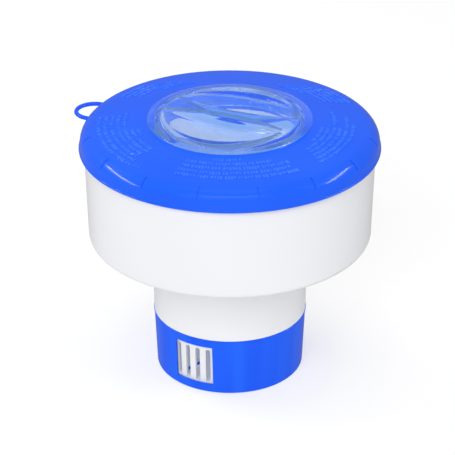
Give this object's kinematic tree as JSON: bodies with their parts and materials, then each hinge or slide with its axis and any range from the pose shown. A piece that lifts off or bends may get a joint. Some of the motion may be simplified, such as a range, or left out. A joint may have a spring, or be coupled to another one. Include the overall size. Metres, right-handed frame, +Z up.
{
  "type": "floating chlorine dispenser",
  "caption": "Round float with a slotted tablet column, a clear twist-lock cap, a tether loop and a turning flow sleeve at its foot.",
  "frame": {"origin": "on the axis, in the plane of the base that the dispenser stands on", "axes": "+Z up along the axis of the column, -Y towards the front, where the feed window shows left of centre, and the tether loop at the rear left, 157 degrees from +X"},
  "size_m": [0.1852, 0.1804, 0.1676],
  "materials": {
    "lid_blue": "semi-gloss moulded",
    "sleeve_blue": "semi-gloss moulded",
    "float_white": "semi-gloss moulded",
    "cap_clear": "clear polished"
  },
  "bodies": {
    "float_body": {"lid_ring": "lid_blue", "float_bowl": "float_white", "tablet_column": "float_white", "base_retainer": "sleeve_blue"},
    "cap_body": {"clear_cap": "cap_clear"},
    "sleeve_body": {"flow_sleeve": "sleeve_blue"}
  },
  "joints": [
    {"name": "cap_lift", "type": "slide", "parent": "float_body", "child": "cap_body", "axis": [0, 0, 1], "range_m": [0, 0.06]},
    {"name": "sleeve_turn", "type": "hinge", "parent": "float_body", "child": "sleeve_body", "pos_m": [0, 0, 0.02], "axis": [0, 0, 1], "range_deg": [0, 36]}
  ]
}
